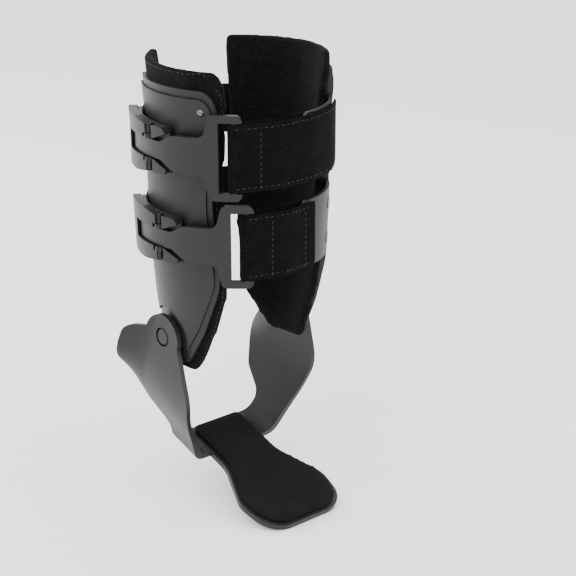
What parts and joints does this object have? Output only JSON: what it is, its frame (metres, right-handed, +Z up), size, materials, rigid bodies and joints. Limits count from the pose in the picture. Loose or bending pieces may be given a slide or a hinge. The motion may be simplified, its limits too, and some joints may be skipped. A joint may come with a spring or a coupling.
{
  "type": "ankle foot orthosis",
  "caption": "Hinged semi-rigid ankle brace: padded side shells on a heel stirrup with a footplate, closed by front straps with lever buckles.",
  "frame": {"origin": "on the underside of the footplate, straight below the middle of the ankle hinge axis", "axes": "+Z up along the shin, -Y towards the toes, -X lateral, +X medial, for a right foot. At rest the footplate is turned 20 degrees toes down, as it is worn on a hanging foot"},
  "size_m": [0.1188, 0.1136, 0.264],
  "materials": {
    "shell_plastic": "fine satin grain",
    "stirrup_plastic": "satin",
    "buckle_plastic": "satin",
    "liner_fabric": "brushed velour",
    "strap_fabric": "brushed hook-and-loop",
    "footbed_foam": "matte foam",
    "rivet_metal": "dark satin",
    "washer_nylon": "smooth"
  },
  "bodies": {
    "stirrup": {"stirrup": "stirrup_plastic", "footplate_pad": "footbed_foam"},
    "upper_clip": {"upper_clip": "buckle_plastic"},
    "upper_lever": {"upper_lever": "buckle_plastic"},
    "lower_clip": {"lower_clip": "buckle_plastic"},
    "lower_lever": {"lower_lever": "buckle_plastic"},
    "cuff": {"lateral_shell": "shell_plastic", "lateral_liner": "liner_fabric", "lateral_hinge_post": "rivet_metal", "lateral_hinge_cap": "stirrup_plastic", "lateral_hinge_washer": "washer_nylon", "medial_shell": "shell_plastic", "medial_liner": "liner_fabric", "medial_hinge_post": "rivet_metal", "medial_hinge_cap": "stirrup_plastic", "medial_hinge_washer": "washer_nylon", "upper_buckle_base": "buckle_plastic", "upper_buckle_rivets": "rivet_metal", "upper_lever_pins": "rivet_metal", "upper_front_strap": "strap_fabric", "upper_wing_rivets": "rivet_metal", "upper_back_strap": "strap_fabric", "upper_back_keeper": "shell_plastic", "upper_keeper_rivets": "rivet_metal", "lower_buckle_base": "buckle_plastic", "lower_buckle_rivets": "rivet_metal", "lower_lever_pins": "rivet_metal", "lower_front_strap": "strap_fabric", "lower_wing_rivets": "rivet_metal", "lower_back_strap": "strap_fabric", "lower_back_keeper": "shell_plastic", "lower_keeper_rivets": "rivet_metal"}
  },
  "joints": [
    {"name": "ankle_hinge", "type": "hinge", "parent": "stirrup", "child": "cuff", "pos_m": [0, 0, 0.08088], "axis": [1, 0, 0], "range_deg": [-20, 40]},
    {"name": "upper_clip_swing", "type": "hinge", "parent": "cuff", "child": "upper_clip", "pos_m": [-0.0394, -0.05152, 0.19388], "axis": [0, 0, 1], "range_deg": [0, 75]},
    {"name": "upper_lever_swing", "type": "hinge", "parent": "cuff", "child": "upper_lever", "pos_m": [-0.05761, -0.00293, 0.19388], "axis": [0, 0, 1], "range_deg": [0, 60]},
    {"name": "lower_clip_swing", "type": "hinge", "parent": "cuff", "child": "lower_clip", "pos_m": [-0.03415, -0.05451, 0.14438], "axis": [0, 0, 1], "range_deg": [0, 75]},
    {"name": "lower_lever_swing", "type": "hinge", "parent": "cuff", "child": "lower_lever", "pos_m": [-0.0569, -0.00901, 0.14438], "axis": [0, 0, 1], "range_deg": [0, 60]}
  ]
}
